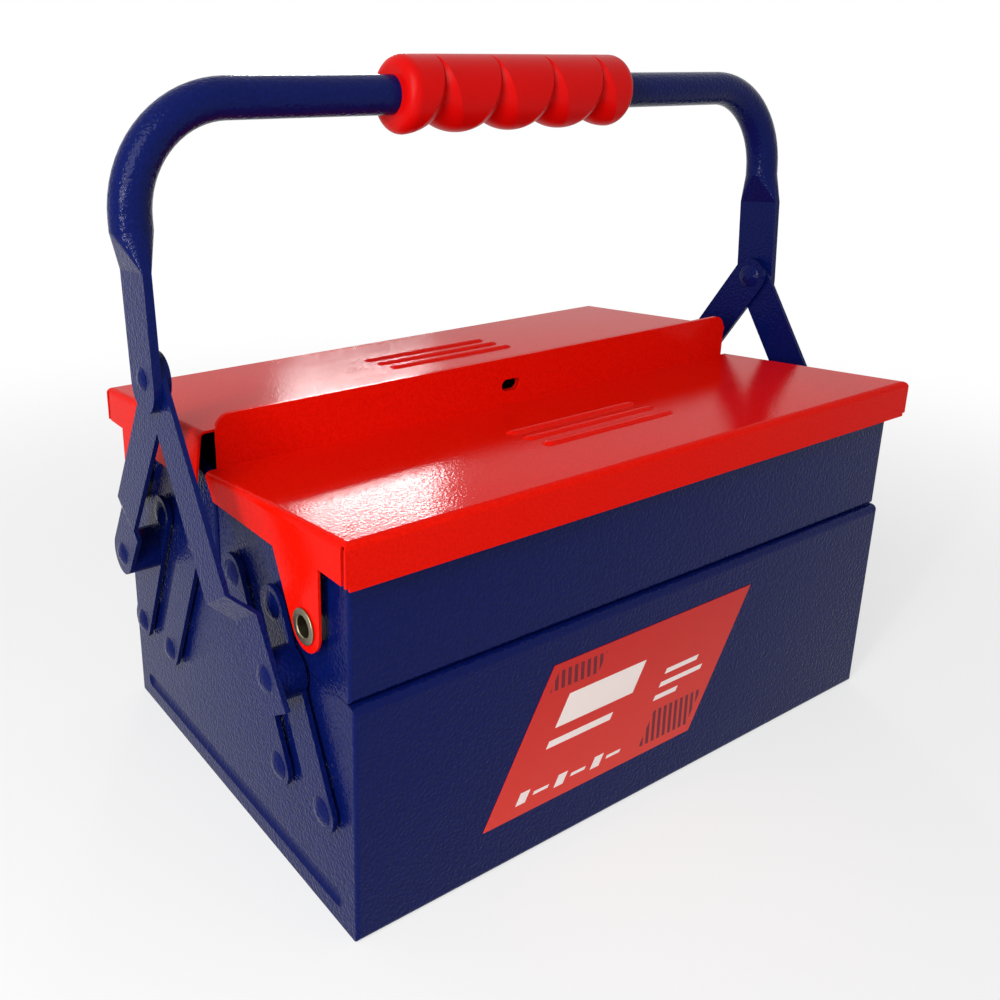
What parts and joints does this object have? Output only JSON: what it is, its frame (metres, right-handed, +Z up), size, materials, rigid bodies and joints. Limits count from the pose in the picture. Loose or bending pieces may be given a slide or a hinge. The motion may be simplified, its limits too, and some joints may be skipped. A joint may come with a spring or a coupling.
{
  "type": "cantilever tool box",
  "caption": "Sheet-steel cantilever tool box: a bottom box, upper trays swinging out on parallel links, hinged lids, and a tubular handle with a finger grip that works the links.",
  "frame": {"origin": "centre of the underside of the bottom box", "axes": "+Z up, front face towards -Y, length and handle bar along X"},
  "size_m": [0.3646, 0.2046, 0.3028],
  "materials": {
    "blue_enamel": "hammered gloss enamel",
    "red_enamel": "fine hammered gloss enamel",
    "red_plastic": "moulded, satin gloss",
    "eyelet_metal": "nickel plated"
  },
  "bodies": {
    "base": {"base_box": "blue_enamel", "base_rivets": "blue_enamel", "base_washers": "blue_enamel"},
    "front_outer_links": {"front_outer_link_left": "blue_enamel", "front_outer_link_right": "blue_enamel"},
    "front_inner_links": {"front_inner_link_left": "blue_enamel", "front_inner_link_right": "blue_enamel"},
    "front_tray": {"front_tray": "blue_enamel", "front_tray_rivets": "blue_enamel", "front_tray_washers": "blue_enamel", "front_lid_eyelets": "eyelet_metal"},
    "front_lid": {"front_lid": "red_enamel"},
    "rear_outer_links": {"rear_outer_link_left": "blue_enamel", "rear_outer_link_right": "blue_enamel"},
    "rear_inner_links": {"rear_inner_link_left": "blue_enamel", "rear_inner_link_right": "blue_enamel"},
    "rear_tray": {"rear_tray": "blue_enamel", "rear_tray_rivets": "blue_enamel", "rear_tray_washers": "blue_enamel", "rear_lid_eyelets": "eyelet_metal"},
    "rear_lid": {"rear_lid": "red_enamel"},
    "front_bars": {"front_bar_left": "blue_enamel", "front_bar_right": "blue_enamel", "front_bar_rivets": "blue_enamel", "front_bar_spacers": "blue_enamel", "handle_rivets": "blue_enamel"},
    "rear_bars": {"rear_bar_left": "blue_enamel", "rear_bar_right": "blue_enamel", "rear_bar_rivets": "blue_enamel", "rear_bar_spacers": "blue_enamel"},
    "handle": {"handle_tube": "blue_enamel", "handle_grip": "red_plastic"}
  },
  "joints": [
    {"name": "tray_swing", "type": "hinge", "parent": "base", "child": "front_outer_links", "pos_m": [0, -0.082, 0.047], "axis": [1, 0, 0], "range_deg": [0, 51.06]},
    {"name": "front_inner_link_swing", "type": "hinge", "parent": "base", "child": "front_inner_links", "pos_m": [0, -0.0505, 0.047], "axis": [1, 0, 0], "range_deg": [0, 51.06]},
    {"name": "front_tray_level", "type": "hinge", "parent": "front_outer_links", "child": "front_tray", "pos_m": [0, -0.05, 0.114], "axis": [-1, 0, 0], "range_deg": [0, 51.06]},
    {"name": "rear_outer_link_swing", "type": "hinge", "parent": "base", "child": "rear_outer_links", "pos_m": [0, 0.082, 0.047], "axis": [-1, 0, 0], "range_deg": [0, 51.06]},
    {"name": "rear_inner_link_swing", "type": "hinge", "parent": "base", "child": "rear_inner_links", "pos_m": [0, 0.0505, 0.047], "axis": [-1, 0, 0], "range_deg": [0, 51.06]},
    {"name": "rear_tray_level", "type": "hinge", "parent": "rear_outer_links", "child": "rear_tray", "pos_m": [0, 0.05, 0.114], "axis": [1, 0, 0], "range_deg": [0, 51.06]},
    {"name": "front_bar_turn", "type": "hinge", "parent": "front_outer_links", "child": "front_bars", "pos_m": [0, -0.062, 0.094], "axis": [-1, 0, 0], "range_deg": [0, 85.86]},
    {"name": "rear_bar_turn", "type": "hinge", "parent": "front_bars", "child": "rear_bars", "pos_m": [0, 0, 0.1905], "axis": [1, 0, 0], "range_deg": [0, 69.6]},
    {"name": "handle_tilt", "type": "hinge", "parent": "front_bars", "child": "handle", "pos_m": [0, 0, 0.1905], "axis": [1, 0, 0], "range_deg": [-21, 70]},
    {"name": "front_lid_hinge", "type": "hinge", "parent": "front_tray", "child": "front_lid", "pos_m": [0, -0.076, 0.1185], "axis": [1, 0, 0], "range_deg": [0, 88]},
    {"name": "rear_lid_hinge", "type": "hinge", "parent": "rear_tray", "child": "rear_lid", "pos_m": [0, 0.076, 0.1185], "axis": [-1, 0, 0], "range_deg": [0, 88]}
  ],
  "couplings": [
    {"joint": "front_inner_link_swing", "follows": "tray_swing", "ratio": 1},
    {"joint": "front_tray_level", "follows": "tray_swing", "ratio": 1},
    {"joint": "rear_outer_link_swing", "follows": "tray_swing", "ratio": 1},
    {"joint": "rear_inner_link_swing", "follows": "tray_swing", "ratio": 1},
    {"joint": "rear_tray_level", "follows": "tray_swing", "ratio": 1},
    {"joint": "front_bar_turn", "follows": "tray_swing", "ratio": 1.6816},
    {"joint": "rear_bar_turn", "follows": "tray_swing", "ratio": 1.3632}
  ]
}
